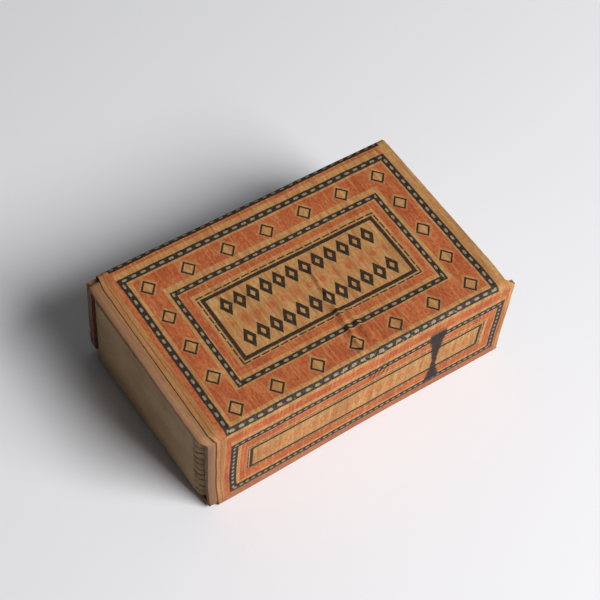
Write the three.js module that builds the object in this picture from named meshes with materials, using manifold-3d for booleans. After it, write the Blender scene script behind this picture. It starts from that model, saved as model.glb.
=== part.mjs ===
// A pocket-size wooden safety matchbox: a printed sleeve of folded veneer, a veneer tray that slides
// through it along X, and the matches that lie in the tray with all their heads at the +X end.
// Millimetres, +Z up. X runs along the box and -Y is the printed long side. The origin is under the
// middle of the whole box, on the surface that it lies on.
import * as THREE from 'three';
import { mergeVertices } from 'three/addons/utils/BufferGeometryUtils.js';
import Module from 'manifold-3d';

const wasm = await Module();
wasm.setup();

// Sleeve: outer sizes over the printed label.
const SLEEVE_LENGTH = 51.8;
const SLEEVE_WIDTH = 31;
const SLEEVE_HEIGHT = 18;
// The front panel has slipped towards +X along the worn fold, so each end of the sleeve is stepped.
const FRONT_SET_BACK = 0.7;
const TOP_SET_BACK = 1.3;

// Sheets.
const VENEER = 0.75;
const FOLD_RADIUS = 0.12;
const LABEL_PAPER = 0.12;
const BARE_MARGIN = 1.6;
const GLUE = 0.02;
const LAP_GAP = 0.05;

// Striking composition on the back long side.
const STRIKER_THICKNESS = 0.15;
const STRIKER_END_MARGIN = 1.5;
const STRIKER_EDGE_MARGIN = 1.6;

// Tray: sliding clearances in the sleeve, and its own sheets.
const SIDE_CLEARANCE = 0.25;
const FLOOR_CLEARANCE = 0.1;
const TOP_CLEARANCE = 0.4;
const TRAY_INSET = 0.85;
const TRAY_VENEER = 0.75;
const TRAY_FOLD_RADIUS = 0.5;
const BINDING_PAPER = 0.1;
const BINDING_DROP = 0.8;
const BINDING_TURN_IN = 4;
const BOTTOM_FIT = 0.1;

// Matches.
const MATCH_COUNT = 26;
const MATCH_SLACK = 3.2;
const SPLINT = 1.9;
const HEAD_DIAMETER = 2.8;
const HEAD_LENGTH = 3.3;
const HEAD_GAP = 0.05;

const FOLD_STEPS = 4;
const HEAD_SIDES = 12;
const QUARTER = Math.PI / 2;

const PAPER_TAN = 0xbd9559;
const BARE_WOOD = 0xc79a70;
const STRIKER_BROWN = 0x4a241b;
const TRAY_WOOD = 0xb79a74;
const BINDING_GREY = 0x7d6f5a;
const SPLINT_WOOD = 0xdcc198;
const HEAD_BROWN = 0x54261e;

function material(color, roughness) {
  return new THREE.MeshStandardMaterial({ color, roughness, metalness: 0 });
}

function named(name, geometry, color, roughness) {
  const mesh = new THREE.Mesh(geometry, material(color, roughness));
  mesh.name = name;
  return mesh;
}

// Closed solids to manifold bodies and back, for cuts.
function toSolid(geometry) {
  const bare = geometry.clone();
  bare.deleteAttribute('normal');
  bare.deleteAttribute('uv');
  const merged = mergeVertices(bare, 1e-5);
  const mesh = new wasm.Mesh({
    numProp: 3,
    vertProperties: new Float32Array(merged.attributes.position.array),
    triVerts: new Uint32Array(merged.index.array),
  });
  return new wasm.Manifold(mesh);
}

function toGeometry(solid) {
  const mesh = solid.getMesh();
  const geometry = new THREE.BufferGeometry();
  geometry.setAttribute('position', new THREE.BufferAttribute(new Float32Array(mesh.vertProperties), 3));
  geometry.setIndex(new THREE.BufferAttribute(new Uint32Array(mesh.triVerts), 1));
  geometry.computeVertexNormals();
  return geometry;
}

// Points of a quarter turn to the left about a centre, from one heading's right side to the next one's.
function quarterTurn(centre, radius, fromAngle) {
  const points = [];
  for (let step = 0; step <= FOLD_STEPS; step += 1) {
    const angle = fromAngle + (QUARTER * step) / FOLD_STEPS;
    points.push(new THREE.Vector2(
      centre.x + radius * Math.cos(angle),
      centre.y + radius * Math.sin(angle),
    ));
  }
  return points;
}

// Outline of a sheet folded round a path of straight panels that all turn left. The path is the
// sheet's outer face, on the right of the way it runs. Each fold is round inside and out.
function foldedSheet(path, thickness, innerRadius) {
  const outerRadius = innerRadius + thickness;
  const heading = (i) => path[i + 1].clone().sub(path[i]).normalize();
  const leftOf = (d) => new THREE.Vector2(-d.y, d.x);
  const last = path.length - 1;
  const outer = [path[0].clone()];
  const inner = [path[0].clone().addScaledVector(leftOf(heading(0)), thickness)];
  for (let i = 1; i < last; i += 1) {
    const left = leftOf(heading(i - 1));
    const centre = path[i].clone()
      .addScaledVector(left, outerRadius)
      .addScaledVector(leftOf(heading(i)), outerRadius);
    const fromAngle = Math.atan2(-left.y, -left.x);
    outer.push(...quarterTurn(centre, outerRadius, fromAngle));
    inner.push(...quarterTurn(centre, innerRadius, fromAngle));
  }
  outer.push(path[last].clone());
  inner.push(path[last].clone().addScaledVector(leftOf(heading(last - 1)), thickness));
  return new THREE.Shape([...outer, ...inner.reverse()]);
}

// Rounded rectangle from low to high corner, as points that run counter-clockwise.
function roundedRectangle(low, high, radius) {
  const corners = [
    [high.x - radius, low.y + radius, -QUARTER],
    [high.x - radius, high.y - radius, 0],
    [low.x + radius, high.y - radius, QUARTER],
    [low.x + radius, low.y + radius, 2 * QUARTER],
  ];
  return corners.flatMap(([x, y, angle]) => quarterTurn(new THREE.Vector2(x, y), radius, angle));
}

function extrude(shape, depth) {
  return new THREE.ExtrudeGeometry(shape, { depth, bevelEnabled: false, steps: 1 });
}

// Sleeve sections are drawn in the Y-Z plane, measured from the middle of its base.
const skin = LABEL_PAPER + GLUE;
const veneerFold = FOLD_RADIUS + VENEER;
const sleeveFold = veneerFold + skin;
const veneerLow = new THREE.Vector2(-SLEEVE_WIDTH / 2 + skin, skin);
const veneerHigh = new THREE.Vector2(SLEEVE_WIDTH / 2 - skin, SLEEVE_HEIGHT - skin);
const lapFace = veneerHigh.x - VENEER - LAP_GAP;
const hollowLow = new THREE.Vector2(veneerLow.x + VENEER, veneerLow.y + VENEER);
const hollowHigh = new THREE.Vector2(lapFace - VENEER, veneerHigh.y - VENEER);

// How far a point of the section belongs to the slipped front panel: 1 on the front, 0 on the top
// and back, turning over at the worn fold and running out evenly across the bottom.
function slip(y, z) {
  const fromFront = y + SLEEVE_WIDTH / 2;
  const fromTop = SLEEVE_HEIGHT - z;
  if (fromFront < sleeveFold && fromTop < sleeveFold) {
    const angle = Math.atan2(sleeveFold - fromFront, sleeveFold - fromTop);
    return Math.min(1, Math.max(0, angle / QUARTER));
  }
  if (fromFront < sleeveFold) {
    return 1;
  }
  if (z < SLEEVE_HEIGHT / 2) {
    const span = SLEEVE_WIDTH - 2 * sleeveFold;
    return Math.min(1, Math.max(0, 1 - (fromFront - sleeveFold) / span));
  }
  return 0;
}

// Runs a section of the sleeve along X between its stepped ends, leaving a margin at the -X end.
function sleeveSheet(shape, margin) {
  const geometry = extrude(shape, 1);
  const position = geometry.attributes.position;
  for (let i = 0; i < position.count; i += 1) {
    const y = position.getX(i);
    const z = position.getY(i);
    const share = slip(y, z);
    const left = -SLEEVE_LENGTH / 2 + margin + FRONT_SET_BACK * share;
    const right = SLEEVE_LENGTH / 2 - TOP_SET_BACK * (1 - share);
    position.setXYZ(i, position.getZ(i) < 0.5 ? left : right, y, z);
  }
  geometry.computeVertexNormals();
  return geometry;
}

// One strip of veneer, its grain round the box: down the back inside, over the top, down the front,
// under the bottom and up the back again, so that the back is double up to where the top turns over.
function buildSleeveVeneer() {
  const path = [
    new THREE.Vector2(lapFace, veneerLow.y + veneerFold),
    new THREE.Vector2(lapFace, veneerHigh.y),
    new THREE.Vector2(veneerLow.x, veneerHigh.y),
    new THREE.Vector2(veneerLow.x, veneerLow.y),
    new THREE.Vector2(veneerHigh.x, veneerLow.y),
    new THREE.Vector2(veneerHigh.x, veneerHigh.y - veneerFold),
  ];
  return named('sleeve_veneer', sleeveSheet(foldedSheet(path, VENEER, FOLD_RADIUS), 0), BARE_WOOD, 0.8);
}

// The printed paper, wrapped right round the veneer and short of its -X end by the bare margin.
function buildSleeveLabel() {
  const low = new THREE.Vector2(-SLEEVE_WIDTH / 2, 0);
  const high = new THREE.Vector2(SLEEVE_WIDTH / 2, SLEEVE_HEIGHT);
  const paper = new THREE.Vector2(LABEL_PAPER, LABEL_PAPER);
  const shape = new THREE.Shape(roundedRectangle(low, high, sleeveFold));
  const inside = roundedRectangle(low.clone().add(paper), high.clone().sub(paper), sleeveFold - LABEL_PAPER);
  shape.holes.push(new THREE.Path(inside));
  return named('sleeve_label', sleeveSheet(shape, BARE_MARGIN), PAPER_TAN, 0.85);
}

// A thin field of striking composition on the back of the label.
function buildStriker() {
  const left = -SLEEVE_LENGTH / 2 + BARE_MARGIN + STRIKER_END_MARGIN;
  const right = SLEEVE_LENGTH / 2 - TOP_SET_BACK - STRIKER_END_MARGIN;
  const height = SLEEVE_HEIGHT - 2 * (sleeveFold + STRIKER_EDGE_MARGIN);
  const mesh = named(
    'striking_strip',
    new THREE.BoxGeometry(right - left, STRIKER_THICKNESS, height),
    STRIKER_BROWN,
    0.95,
  );
  mesh.position.set(
    (left + right) / 2,
    SLEEVE_WIDTH / 2 + GLUE + STRIKER_THICKNESS / 2,
    SLEEVE_HEIGHT / 2,
  );
  return mesh;
}

// Tray sizes, measured from the middle of its underside.
const trayLength = SLEEVE_LENGTH - TOP_SET_BACK - TRAY_INSET;
const trayWidth = hollowHigh.x - hollowLow.x - 2 * SIDE_CLEARANCE;
const trayHeight = hollowHigh.y - hollowLow.y - FLOOR_CLEARANCE - TOP_CLEARANCE;
const trayFold = TRAY_FOLD_RADIUS + TRAY_VENEER;
const binding = BINDING_PAPER + GLUE;
const hoopHigh = new THREE.Vector2(trayLength / 2 - binding, trayWidth / 2 - binding);
const hoopLow = hoopHigh.clone().negate();
const hoopLapFace = hoopHigh.x - TRAY_VENEER - LAP_GAP;
const roomLow = new THREE.Vector2(hoopLow.x + TRAY_VENEER, hoopLow.y + TRAY_VENEER);
const roomHigh = new THREE.Vector2(hoopLapFace - TRAY_VENEER, hoopHigh.y - TRAY_VENEER);
const trayFloor = binding + TRAY_VENEER;

// The four walls: one strip of veneer on edge, its ends lapped over each other at the +X end.
function buildTrayFrame() {
  const path = [
    new THREE.Vector2(hoopLapFace, hoopLow.y + trayFold),
    new THREE.Vector2(hoopLapFace, hoopHigh.y),
    new THREE.Vector2(hoopLow.x, hoopHigh.y),
    new THREE.Vector2(hoopLow.x, hoopLow.y),
    new THREE.Vector2(hoopHigh.x, hoopLow.y),
    new THREE.Vector2(hoopHigh.x, hoopHigh.y - trayFold),
  ];
  const shape = foldedSheet(path, TRAY_VENEER, TRAY_FOLD_RADIUS);
  const mesh = named('tray_frame', extrude(shape, trayHeight - binding), TRAY_WOOD, 0.85);
  mesh.position.z = binding;
  return mesh;
}

// The loose bottom, a flat piece of veneer inside the walls.
function buildTrayBottom() {
  const fit = new THREE.Vector2(BOTTOM_FIT, BOTTOM_FIT);
  const points = roundedRectangle(roomLow.clone().add(fit), roomHigh.clone().sub(fit), TRAY_FOLD_RADIUS);
  const mesh = named('tray_bottom', extrude(new THREE.Shape(points), TRAY_VENEER), TRAY_WOOD, 0.85);
  mesh.position.z = binding;
  return mesh;
}

// The paper that binds the walls and turns in under the bottom all round.
function buildTrayBinding() {
  const high = new THREE.Vector2(trayLength / 2, trayWidth / 2);
  const paper = new THREE.Vector2(BINDING_PAPER, BINDING_PAPER);
  const turnIn = new THREE.Vector2(BINDING_TURN_IN, BINDING_TURN_IN);
  const block = (reach, radius, from, height) => {
    const points = roundedRectangle(reach.clone().negate(), reach, radius);
    return toSolid(extrude(new THREE.Shape(points), height).translate(0, 0, from));
  };
  const bandHeight = trayHeight - BINDING_DROP;
  const outside = block(high, trayFold + binding, 0, bandHeight);
  const inside = block(high.clone().sub(paper), trayFold + GLUE, BINDING_PAPER, bandHeight);
  const window = block(high.clone().sub(turnIn), trayFold, -BINDING_PAPER, bandHeight);
  const wrap = outside.subtract(inside).subtract(window);
  return named('tray_binding', toGeometry(wrap), BINDING_GREY, 0.9);
}

// Matches lie along X in nested rows. Rows are as wide as the tray holds, and each next row sits in
// the hollows of the one below.
const matchSpace = HEAD_DIAMETER + HEAD_GAP;
const roomWidth = roomHigh.y - roomLow.y;
const perRow = Math.floor(roomWidth / matchSpace);
const matchPitch = roomWidth / perRow;
const rowRise = Math.max(
  SPLINT + HEAD_GAP,
  Math.sqrt(Math.max(0, matchSpace ** 2 - (matchPitch / 2) ** 2)),
);
const matchLength = roomHigh.x - roomLow.x - MATCH_SLACK;
const splintLength = matchLength - HEAD_LENGTH - GLUE;

function matchPlaces() {
  const places = [];
  const firstHeight = trayFloor + HEAD_GAP + HEAD_DIAMETER / 2;
  for (let row = 0; places.length < MATCH_COUNT; row += 1) {
    const height = firstHeight + row * rowRise;
    if (height + HEAD_DIAMETER / 2 > trayHeight) {
      break;
    }
    const nested = row % 2;
    const count = Math.min(perRow - nested, MATCH_COUNT - places.length);
    for (let i = 0; i < count; i += 1) {
      const y = roomLow.y + matchPitch * (i + 0.5 + 0.5 * nested);
      // Each match has slid a little way along the tray, by a different part of the slack.
      const slide = MATCH_SLACK * (0.5 + 0.4 * Math.sin(2.4 * places.length));
      places.push(new THREE.Vector3(roomLow.x + slide, y, height));
    }
  }
  return places;
}

// The dipped head: narrow where it meets the splint, fullest past its middle, and round at its tip.
function headGeometry() {
  const radius = HEAD_DIAMETER / 2;
  const profile = [
    new THREE.Vector2(0, 0),
    new THREE.Vector2(SPLINT * 0.53, 0),
    new THREE.Vector2(radius * 0.92, HEAD_LENGTH * 0.25),
    new THREE.Vector2(radius, HEAD_LENGTH * 0.5),
    new THREE.Vector2(radius * 0.88, HEAD_LENGTH * 0.76),
    new THREE.Vector2(radius * 0.5, HEAD_LENGTH * 0.94),
    new THREE.Vector2(0, HEAD_LENGTH),
  ];
  return new THREE.LatheGeometry(profile, HEAD_SIDES).rotateZ(-QUARTER);
}

function buildMatches() {
  return matchPlaces().flatMap((place, i) => {
    const number = String(i + 1).padStart(2, '0');
    const splint = named(
      `match_${number}_splint`,
      new THREE.BoxGeometry(splintLength, SPLINT, SPLINT),
      SPLINT_WOOD,
      0.8,
    );
    splint.position.copy(place);
    splint.position.x += splintLength / 2;
    const head = named(`match_${number}_head`, headGeometry(), HEAD_BROWN, 0.75);
    head.position.copy(place);
    head.position.x += splintLength + GLUE;
    return [splint, head];
  });
}

const sleeve = new THREE.Group();
sleeve.add(buildSleeveVeneer(), buildSleeveLabel(), buildStriker());

const tray = new THREE.Group();
tray.position.set(
  -SLEEVE_LENGTH / 2 + TRAY_INSET + trayLength / 2,
  (hollowLow.x + hollowHigh.x) / 2,
  hollowLow.y + FLOOR_CLEARANCE,
);
tray.add(buildTrayFrame(), buildTrayBottom(), buildTrayBinding(), ...buildMatches());

// The striking composition stands proud of the back, so the middle of the box is half of that away
// from the middle of the sleeve.
const matchbox = new THREE.Group();
matchbox.add(sleeve, tray);
matchbox.position.y = -(GLUE + STRIKER_THICKNESS) / 2;

export default matchbox;
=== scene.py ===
"""Dresses the matchbox: its printed sleeve, the veneer, the tray and the matches, on a pale floor."""
import math
import bpy
from mathutils import Matrix, Vector, noise


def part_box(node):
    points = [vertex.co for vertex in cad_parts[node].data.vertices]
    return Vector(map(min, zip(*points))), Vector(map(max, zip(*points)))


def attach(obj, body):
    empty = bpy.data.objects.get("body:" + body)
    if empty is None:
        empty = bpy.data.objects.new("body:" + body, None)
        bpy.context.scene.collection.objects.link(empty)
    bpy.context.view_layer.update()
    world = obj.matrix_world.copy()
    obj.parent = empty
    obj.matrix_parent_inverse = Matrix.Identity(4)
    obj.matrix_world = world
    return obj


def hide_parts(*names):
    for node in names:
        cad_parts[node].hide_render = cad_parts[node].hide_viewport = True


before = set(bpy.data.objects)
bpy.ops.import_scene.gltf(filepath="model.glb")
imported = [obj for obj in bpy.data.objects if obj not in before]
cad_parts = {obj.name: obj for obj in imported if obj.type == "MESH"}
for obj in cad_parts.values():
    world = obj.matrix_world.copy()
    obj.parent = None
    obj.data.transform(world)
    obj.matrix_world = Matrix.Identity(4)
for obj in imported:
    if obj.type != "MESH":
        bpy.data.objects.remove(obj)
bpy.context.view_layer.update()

MM = 0.001


def span(node):
    """Lowest and highest corner of a CAD node, in millimetres."""
    low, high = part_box(node)
    return Vector(low) / MM, Vector(high) / MM


# Sleeve, in millimetres.
LABEL_LOW, LABEL_HIGH = span("sleeve_label")
VENEER_LOW, VENEER_HIGH = span("sleeve_veneer")
PAPER = 0.12
GLUE = 0.02
VENEER = 0.75
LAP_GAP = 0.05
FOLD_RADIUS = 0.12
TOP_SET_BACK = 1.3
SKIN = PAPER + GLUE
FOLD = FOLD_RADIUS + VENEER + SKIN
# How far the lower folds stand out past a round one, as a share of its radius.
LOWER_FOLD_POINT = 0.26
WIDTH = LABEL_HIGH.y - LABEL_LOW.y
HEIGHT = LABEL_HIGH.z - LABEL_LOW.z
MIDDLE_Y = (LABEL_HIGH.y + LABEL_LOW.y) / 2
SLEEVE_LEFT = VENEER_LOW.x
SLEEVE_RIGHT = VENEER_HIGH.x
LABEL_LEFT = LABEL_LOW.x

# Lengths round the sleeve: half of the flat top, one fold, one flat side.
FLAT_TOP = WIDTH / 2 - FOLD
FOLD_ARC = math.pi / 2 * FOLD
FLAT_SIDE = HEIGHT - 2 * FOLD
GIRTH = 4 * FLAT_TOP + 4 * FOLD_ARC + 2 * FLAT_SIDE
FRONT_BASE = FLAT_TOP + FOLD_ARC + FLAT_SIDE + FOLD

# The print's own zero along the box: the middle of the outer frame of beads on the top.
PRINT_X = 0.35

# The box's knocks, in millimetres at their deepest.
CORNER_CRUSH = 0.42
FAR_CORNER_CRUSH = 0.12
TOP_SAG = 0.10
SIDE_WAVE = 0.10
FOOT_FLARE = 0.5

# The open crack in the bare veneer: its depth, its distance from the end and its half width.
SPLIT_DEPTH = 0.45
SPLIT_PLACE = 1.15
SPLIT_HALF = 0.28


def wobble(x, y=0.0, z=0.0):
    """Smooth noise between about -1 and 1."""
    return noise.noise(Vector((x, y, z)))


def clamp(value, low=0.0, high=1.0):
    return max(low, min(high, value))


def smooth(value, low, high):
    t = clamp((value - low) / (high - low))
    return t * t * (3 - 2 * t)


def steps(low, high, size):
    """Evenly spaced values from low to high, no further apart than size."""
    count = max(1, math.ceil((high - low) / size))
    return [low + (high - low) * i / count for i in range(count + 1)]


# Meshes

def add_object(name, points, faces, sheet=None, sharp=40):
    """A mesh object from points in millimetres. sheet holds each point's flat coordinates."""
    mesh = bpy.data.meshes.new(name)
    mesh.from_pydata([Vector(p) * MM for p in points], [], faces)
    mesh.validate()
    if sheet:
        layer = mesh.attributes.new("sheet", "FLOAT_VECTOR", "POINT")
        layer.data.foreach_set("vector", [c for flat in sheet for c in flat])
    mesh.shade_smooth()
    mesh.set_sharp_from_angle(angle=math.radians(sharp))
    obj = bpy.data.objects.new(name, mesh)
    bpy.context.scene.collection.objects.link(obj)
    return obj


class Sheet:
    """Rows of points of a sheet with thickness: its two faces and their flat coordinates."""

    def __init__(self):
        self.outer, self.inner, self.flat = [], [], []

    def start_row(self):
        for rows in (self.outer, self.inner, self.flat):
            rows.append([])

    def add(self, outer, inner, flat):
        for rows, value in ((self.outer, outer), (self.inner, inner), (self.flat, flat)):
            rows[-1].append(value)


def closed_shell(name, sheet, wrap=False, sharp=50):
    """An object from a sheet, closed along its edges. With wrap the last column meets the first."""
    rows, columns = len(sheet.outer), len(sheet.outer[0])
    points = [p for row in sheet.outer + sheet.inner for p in row]
    flats = [f for row in sheet.flat for f in row] * 2
    under = rows * columns
    faces = []
    spans = columns if wrap else columns - 1
    for i in range(rows - 1):
        for j in range(spans):
            a = i * columns + j
            b = i * columns + (j + 1) % columns
            c, d = b + columns, a + columns
            faces.append((a, b, c, d))
            faces.append((under + d, under + c, under + b, under + a))
    for j in range(spans):
        a, b = j, (j + 1) % columns
        faces.append((b, a, under + a, under + b))
        a += (rows - 1) * columns
        b += (rows - 1) * columns
        faces.append((a, b, under + b, under + a))
    if not wrap:
        for i in range(rows - 1):
            a, b = i * columns, (i + 1) * columns
            faces.append((a, b, under + b, under + a))
            a += columns - 1
            b += columns - 1
            faces.append((b, a, under + a, under + b))
    return add_object(name, points, faces, flats, sharp)


def dress(obj, body, material, slot, *nodes):
    """Puts the material on, hangs the piece on its body's empty, and hides the CAD nodes it stands
    for.
    """
    obj.data.materials.append(material)
    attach(obj, body)
    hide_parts(*nodes)
    return obj


# Sleeve

def on_girth(s, inset=0.0):
    """(y, z) and outward normal at s millimetres round the label from the middle of the top.

    s runs down the front, under the bottom and up the back. inset is the depth under the label's face.
    """
    place, normal = on_even_girth(s, inset)
    # The lower folds are sharper than the upper ones, which hands have rubbed round.
    from_side = WIDTH / 2 - abs(place.x - MIDDLE_Y)
    if place.y < FOLD and from_side < FOLD and normal.y < 0 and abs(normal.x) > 1e-6:
        outward = FOLD * LOWER_FOLD_POINT * math.sin(2 * math.atan2(-normal.y, abs(normal.x)))
        place += normal * outward
    return place, normal


def on_even_girth(s, inset):
    s %= GIRTH
    corners = [
        (FLAT_TOP, (-FLAT_TOP, HEIGHT - FOLD), 90),
        (FLAT_SIDE, (-FLAT_TOP, FOLD), 180),
        (2 * FLAT_TOP, (FLAT_TOP, FOLD), 270),
        (FLAT_SIDE, (FLAT_TOP, HEIGHT - FOLD), 0),
    ]
    reach = FOLD - inset
    for flat, (cy, cz), start in corners:
        if s <= flat:
            normal = Vector((math.cos(math.radians(start)), math.sin(math.radians(start))))
            along = Vector((-normal.y, normal.x))
            place = Vector((cy, cz)) + normal * reach - along * (flat - s)
            return Vector((place.x + MIDDLE_Y, place.y)), normal
        s -= flat
        if s <= FOLD_ARC:
            angle = math.radians(start) + s / FOLD
            normal = Vector((math.cos(angle), math.sin(angle)))
            place = Vector((cy, cz)) + normal * reach
            return Vector((place.x + MIDDLE_Y, place.y)), normal
        s -= FOLD_ARC
    place = Vector((FLAT_TOP - s + MIDDLE_Y, HEIGHT - inset))
    return place, Vector((0, 1))


def slip(y, z):
    """How far a point belongs to the slipped front panel: 1 on the front, 0 on the top and back."""
    from_front = y - MIDDLE_Y + WIDTH / 2
    from_top = HEIGHT - z
    if from_front < FOLD and from_top < FOLD:
        return clamp(math.atan2(FOLD - from_front, FOLD - from_top) / (math.pi / 2))
    if from_front < FOLD:
        return 1.0
    if z < HEIGHT / 2:
        return clamp(1 - (from_front - FOLD) / (2 * FLAT_TOP))
    return 0.0


def settle(point):
    """The box's own knocks, shared by the paper and the veneer: crushed corners and soft panels."""
    x, y, z = point
    y_in = y - MIDDLE_Y
    top = smooth(z, HEIGHT - 3, HEIGHT)
    corner = smooth(x, 19.5, 25.5) * smooth(-y_in, 11.5, 15.5) * top
    far_corner = smooth(-x, 21.5, 26) * smooth(y_in, 12, 15.5) * top
    panel = (1 - (y_in / (WIDTH / 2)) ** 2) * (1 - (x / SLEEVE_RIGHT) ** 2)
    sag = TOP_SAG * panel * top * smooth(wobble(x * 0.05, y * 0.06, 4.0), -0.5, 0.5)
    z -= CORNER_CRUSH * corner + FAR_CORNER_CRUSH * far_corner + sag
    at_side = smooth(abs(y_in), WIDTH / 2 - 2, WIDTH / 2)
    y += SIDE_WAVE * wobble(x * 0.07, 3.0, z * 0.1) * at_side
    near_foot = smooth(-x, -5, 24) * smooth(-y_in, 11, 15.4) * smooth(5 - z, 0, 5)
    y -= FOOT_FLARE * near_foot
    return Vector((x, y, z))


# Wrinkles of the paper: from and to in print coordinates, height, half width, all in millimetres.
WRINKLES = [
    ((1.35, 0.4), (0.75, -4.8), 0.36, 0.28),
    ((0.75, -6.0), (0.35, -10.6), 0.42, 0.38),
    ((0.35, -10.4), (-0.15, -14.6), 0.42, 0.34),
    ((1.7, -7.2), (2.55, -15.6), 0.44, 0.40),
    ((4.1, -9.8), (4.6, -15.2), 0.07, 0.5),
    ((-7.1, -11.5), (-6.8, -15.0), 0.05, 0.3),
    ((-15.5, 10.5), (-15.2, 15.0), 0.05, 0.3),
    ((-4.2, 8.0), (-4.9, 1.0), 0.04, 0.4),
]


def wrinkle(x, v):
    """Height of the wrinkles at a point of the print."""
    height = 0.0
    for (x0, v0), (x1, v1), rise, half in WRINKLES:
        dx, dv = x1 - x0, v1 - v0
        t = ((x - x0) * dx + (v - v0) * dv) / (dx * dx + dv * dv)
        if -0.15 < t < 1.15:
            side = (x - x0 - t * dx) + 0.18 * wobble(v * 0.9, x0)
            ends = smooth(t, -0.15, 0.15) * smooth(1.15 - t, 0.0, 0.3)
            height += rise * ends * math.exp(-(side / half) ** 2)
    return height


def left_inset(y, z):
    """How far the skewed sleeve stops short of its longest point at the left end."""
    share = slip(y, z)
    from_front = y - MIDDLE_Y + WIDTH / 2
    front = share * (1.0 + 0.5 * (1 - z / HEIGHT))
    far = 0.45 * smooth(from_front, WIDTH - 4, WIDTH)
    low = smooth(FOLD * 3.2 - z, 0.0, FOLD * 2.2) * smooth(from_front, 0.0, FOLD)
    return max(front, far, 1.5 * low)


def label_ends(share, inset, s):
    """X of the paper's two ends: a little uneven at the left, rubbed back at the right."""
    left = LABEL_LEFT + inset - 0.3 * share
    left += 0.05 * wobble(s * 0.35, 7.0) + 0.03 * wobble(s * 2.1, 9.0)
    right = SLEEVE_RIGHT - TOP_SET_BACK * (1 - share)
    right -= 0.10 + 0.12 * abs(wobble(s * 0.5, 5.0)) + 0.05 * abs(wobble(s * 2.7, 2.0))
    return left, right


def girth_stations():
    """Places round the label: fine on the top, the front and the folds, coarser where it is plain."""
    fine, coarse, bend = ((0.3, 1.1, 0.2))
    stations = []
    start = -FLAT_TOP
    for length, size in (
        (2 * FLAT_TOP, fine), (FOLD_ARC, bend), (FLAT_SIDE, fine), (FOLD_ARC, bend),
        (2 * FLAT_TOP, coarse), (FOLD_ARC, bend), (FLAT_SIDE, coarse), (FOLD_ARC, bend),
    ):
        stations += steps(start, start + length, size)[:-1]
        start += length
    return stations


def print_place(s):
    """The print's coordinate across the box: as y on the top, running on down front and back."""
    return -s if s <= GIRTH / 2 else GIRTH - s


def make_label(material):
    """The printed paper, closed round the sleeve, with its wrinkles and uneven ends."""
    size = 0.3
    count = math.ceil((SLEEVE_RIGHT - LABEL_LEFT) / size)
    stations = girth_stations()
    sheet = Sheet()
    for i in range(count + 1):
        sheet.start_row()
        for s in stations:
            (y, z), normal = on_girth(s)
            left, right = label_ends(slip(y, z), left_inset(y, z), s)
            x = left + (right - left) * i / count
            v = print_place(s)
            flat_x = x - PRINT_X
            lift = wrinkle(flat_x, v) + 0.014 * wobble(flat_x * 1.1, v * 0.12)
            edge = min(x - left, right - x)
            lift += 0.03 * smooth(0.7 - edge, 0, 0.7) * max(0.0, wobble(s * 0.6, x * 0.1, 2.0))
            faces = []
            for inset in (0.0, PAPER):
                (y, z), normal = on_girth(s, inset)
                faces.append(settle((x, y + normal.x * lift, z + normal.y * lift)))
            sheet.add(*faces, (flat_x, v, x - left))
    label = closed_shell("printed_label", sheet, wrap=True, sharp=60)
    return dress(label, "sleeve", material, "label_paper", "sleeve_label")


def folded_strip(path, thickness, inner_radius, size, bend_steps=8):
    """Pairs of (outer, inner, distance along) for a sheet folded round a path that turns left."""
    outer_radius = inner_radius + thickness
    pairs = []
    run = 0.0
    for k in range(len(path) - 1):
        start, end = Vector(path[k]), Vector(path[k + 1])
        heading = (end - start).normalized()
        left = Vector((-heading.y, heading.x))
        first = start + heading * (outer_radius if k else 0.0)
        last = end - heading * (outer_radius if k < len(path) - 2 else 0.0)
        straight = (last - first).length
        for t in steps(0.0, straight, size):
            place = first + heading * t
            pairs.append((place, place + left * thickness, run + t))
        run += straight
        if k < len(path) - 2:
            centre = last + left * outer_radius
            base = math.atan2(-left.y, -left.x)
            for step in range(1, bend_steps):
                angle = base + math.pi / 2 * step / bend_steps
                ray = Vector((math.cos(angle), math.sin(angle)))
                along = run + outer_radius * (angle - base)
                pairs.append((centre + ray * outer_radius, centre + ray * inner_radius, along))
            run += outer_radius * math.pi / 2
    return pairs


def make_veneer(material):
    """The folded strip, its cut ends a little rough and its bare near corner split at the fold."""
    low_y, high_y = MIDDLE_Y - WIDTH / 2 + SKIN, MIDDLE_Y + WIDTH / 2 - SKIN
    low_z, high_z = SKIN, HEIGHT - SKIN
    lap = high_y - VENEER - LAP_GAP
    path = [
        (lap, low_z + FOLD_RADIUS + VENEER), (lap, high_z), (low_y, high_z),
        (low_y, low_z), (high_y, low_z), (high_y, high_z - FOLD_RADIUS - VENEER),
    ]
    pairs = folded_strip(path, VENEER, FOLD_RADIUS, 0.5)
    ends = [0.0, 0.12, 0.3, 0.6, 1.0, 1.4, 1.8, 2.4]
    middle = steps(3.0, SLEEVE_RIGHT - SLEEVE_LEFT - 3.0, 2.0)
    full = SLEEVE_RIGHT - SLEEVE_LEFT
    depths = ends + middle + [full - e for e in reversed(ends)]
    sheet = Sheet()
    for depth in depths:
        sheet.start_row()
        for out, ins, run in pairs:
            faces = []
            for (y, z), is_outer in ((out, True), (ins, False)):
                left, right = veneer_ends(y, z, run)
                x = left + (right - left) * depth / full
                point = settle((x, y, z))
                if is_outer:
                    point += Vector((0, 0.7, -0.7)) * split_depth(x - left, y, z)
                faces.append(point)
            sheet.add(*faces, (x - PRINT_X, run, x - left))
    strip = closed_shell("folded_veneer", sheet)
    return dress(strip, "sleeve", material, "sleeve_wood", "sleeve_veneer")


def veneer_ends(y, z, run):
    """X of the veneer's two cut ends, ragged at the left."""
    left = SLEEVE_LEFT + left_inset(y, z) + 0.12 * abs(wobble(run * 0.45, 1.0))
    left += 0.10 * abs(wobble(run * 1.9, 4.0))
    right = SLEEVE_RIGHT - TOP_SET_BACK * (1 - slip(y, z)) + 0.05 * wobble(run * 0.9, 6.0)
    return left, right


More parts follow.
